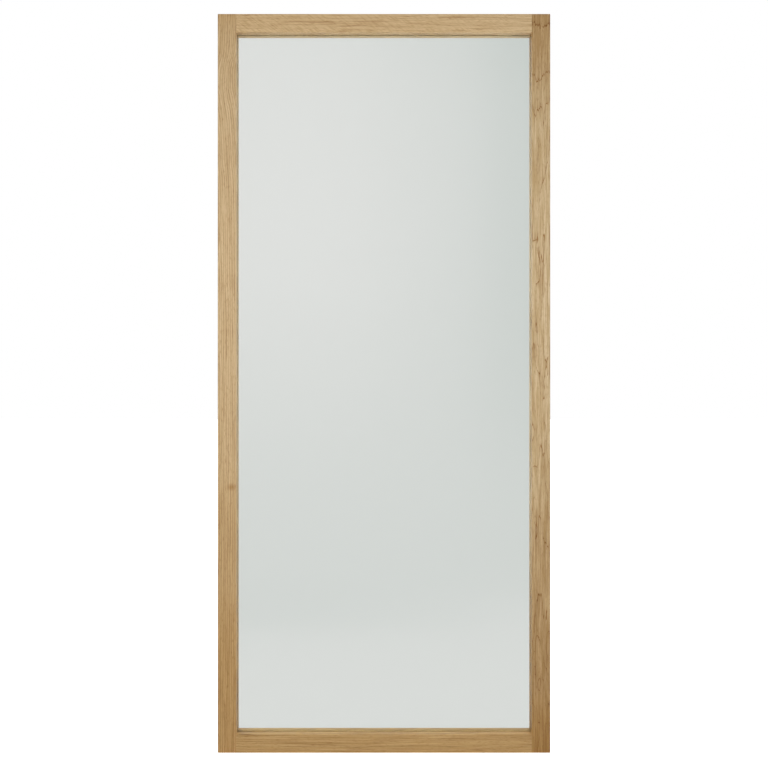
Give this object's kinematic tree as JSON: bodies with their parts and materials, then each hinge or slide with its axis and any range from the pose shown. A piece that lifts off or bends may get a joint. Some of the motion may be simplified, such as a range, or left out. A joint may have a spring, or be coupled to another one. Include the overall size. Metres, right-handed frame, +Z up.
{
  "type": "full-length mirror",
  "caption": "Tall rectangular mirror in a plain solid oak frame, with flush keyhole plates behind for hanging upright or on its side.",
  "frame": {"origin": "middle of the frame's underside, at half its width and half its depth", "axes": "+Z up, the glass faces -Y, the back goes to the wall on +Y, +X is to the right of someone who looks at the glass"},
  "size_m": [0.9, 0.035, 2],
  "materials": {
    "oak": "solid European oak, clear satin lacquer",
    "beech": "turned beech, unfinished",
    "float_glass": "polished float glass with ground arrises",
    "silver": "silver layer with grey backing paint",
    "film": "matt polyethylene splinter film",
    "spacer_plastic": "moulded polypropylene",
    "foam": "closed-cell foam tape",
    "fibreboard": "hard fibreboard, unfinished",
    "zinc_steel": "zinc-plated mild steel"
  },
  "bodies": {
    "root": {"left_stile": "oak", "right_stile": "oak", "top_rail": "oak", "bottom_rail": "oak", "top_left_dowels": "beech", "top_right_dowels": "beech", "bottom_left_dowels": "beech", "bottom_right_dowels": "beech", "mirror_glass": "float_glass", "silver_coating": "silver", "safety_film": "film", "glass_setting_blocks": "spacer_plastic", "glass_side_spacers": "spacer_plastic", "glass_top_spacers": "spacer_plastic", "foam_tape": "foam", "back_panel": "fibreboard", "back_panel_screws": "zinc_steel", "left_stile_hanger": "zinc_steel", "right_stile_hanger": "zinc_steel", "top_rail_hanger": "zinc_steel", "bottom_rail_hanger": "zinc_steel", "hanger_screws": "zinc_steel"}
  },
  "joints": []
}
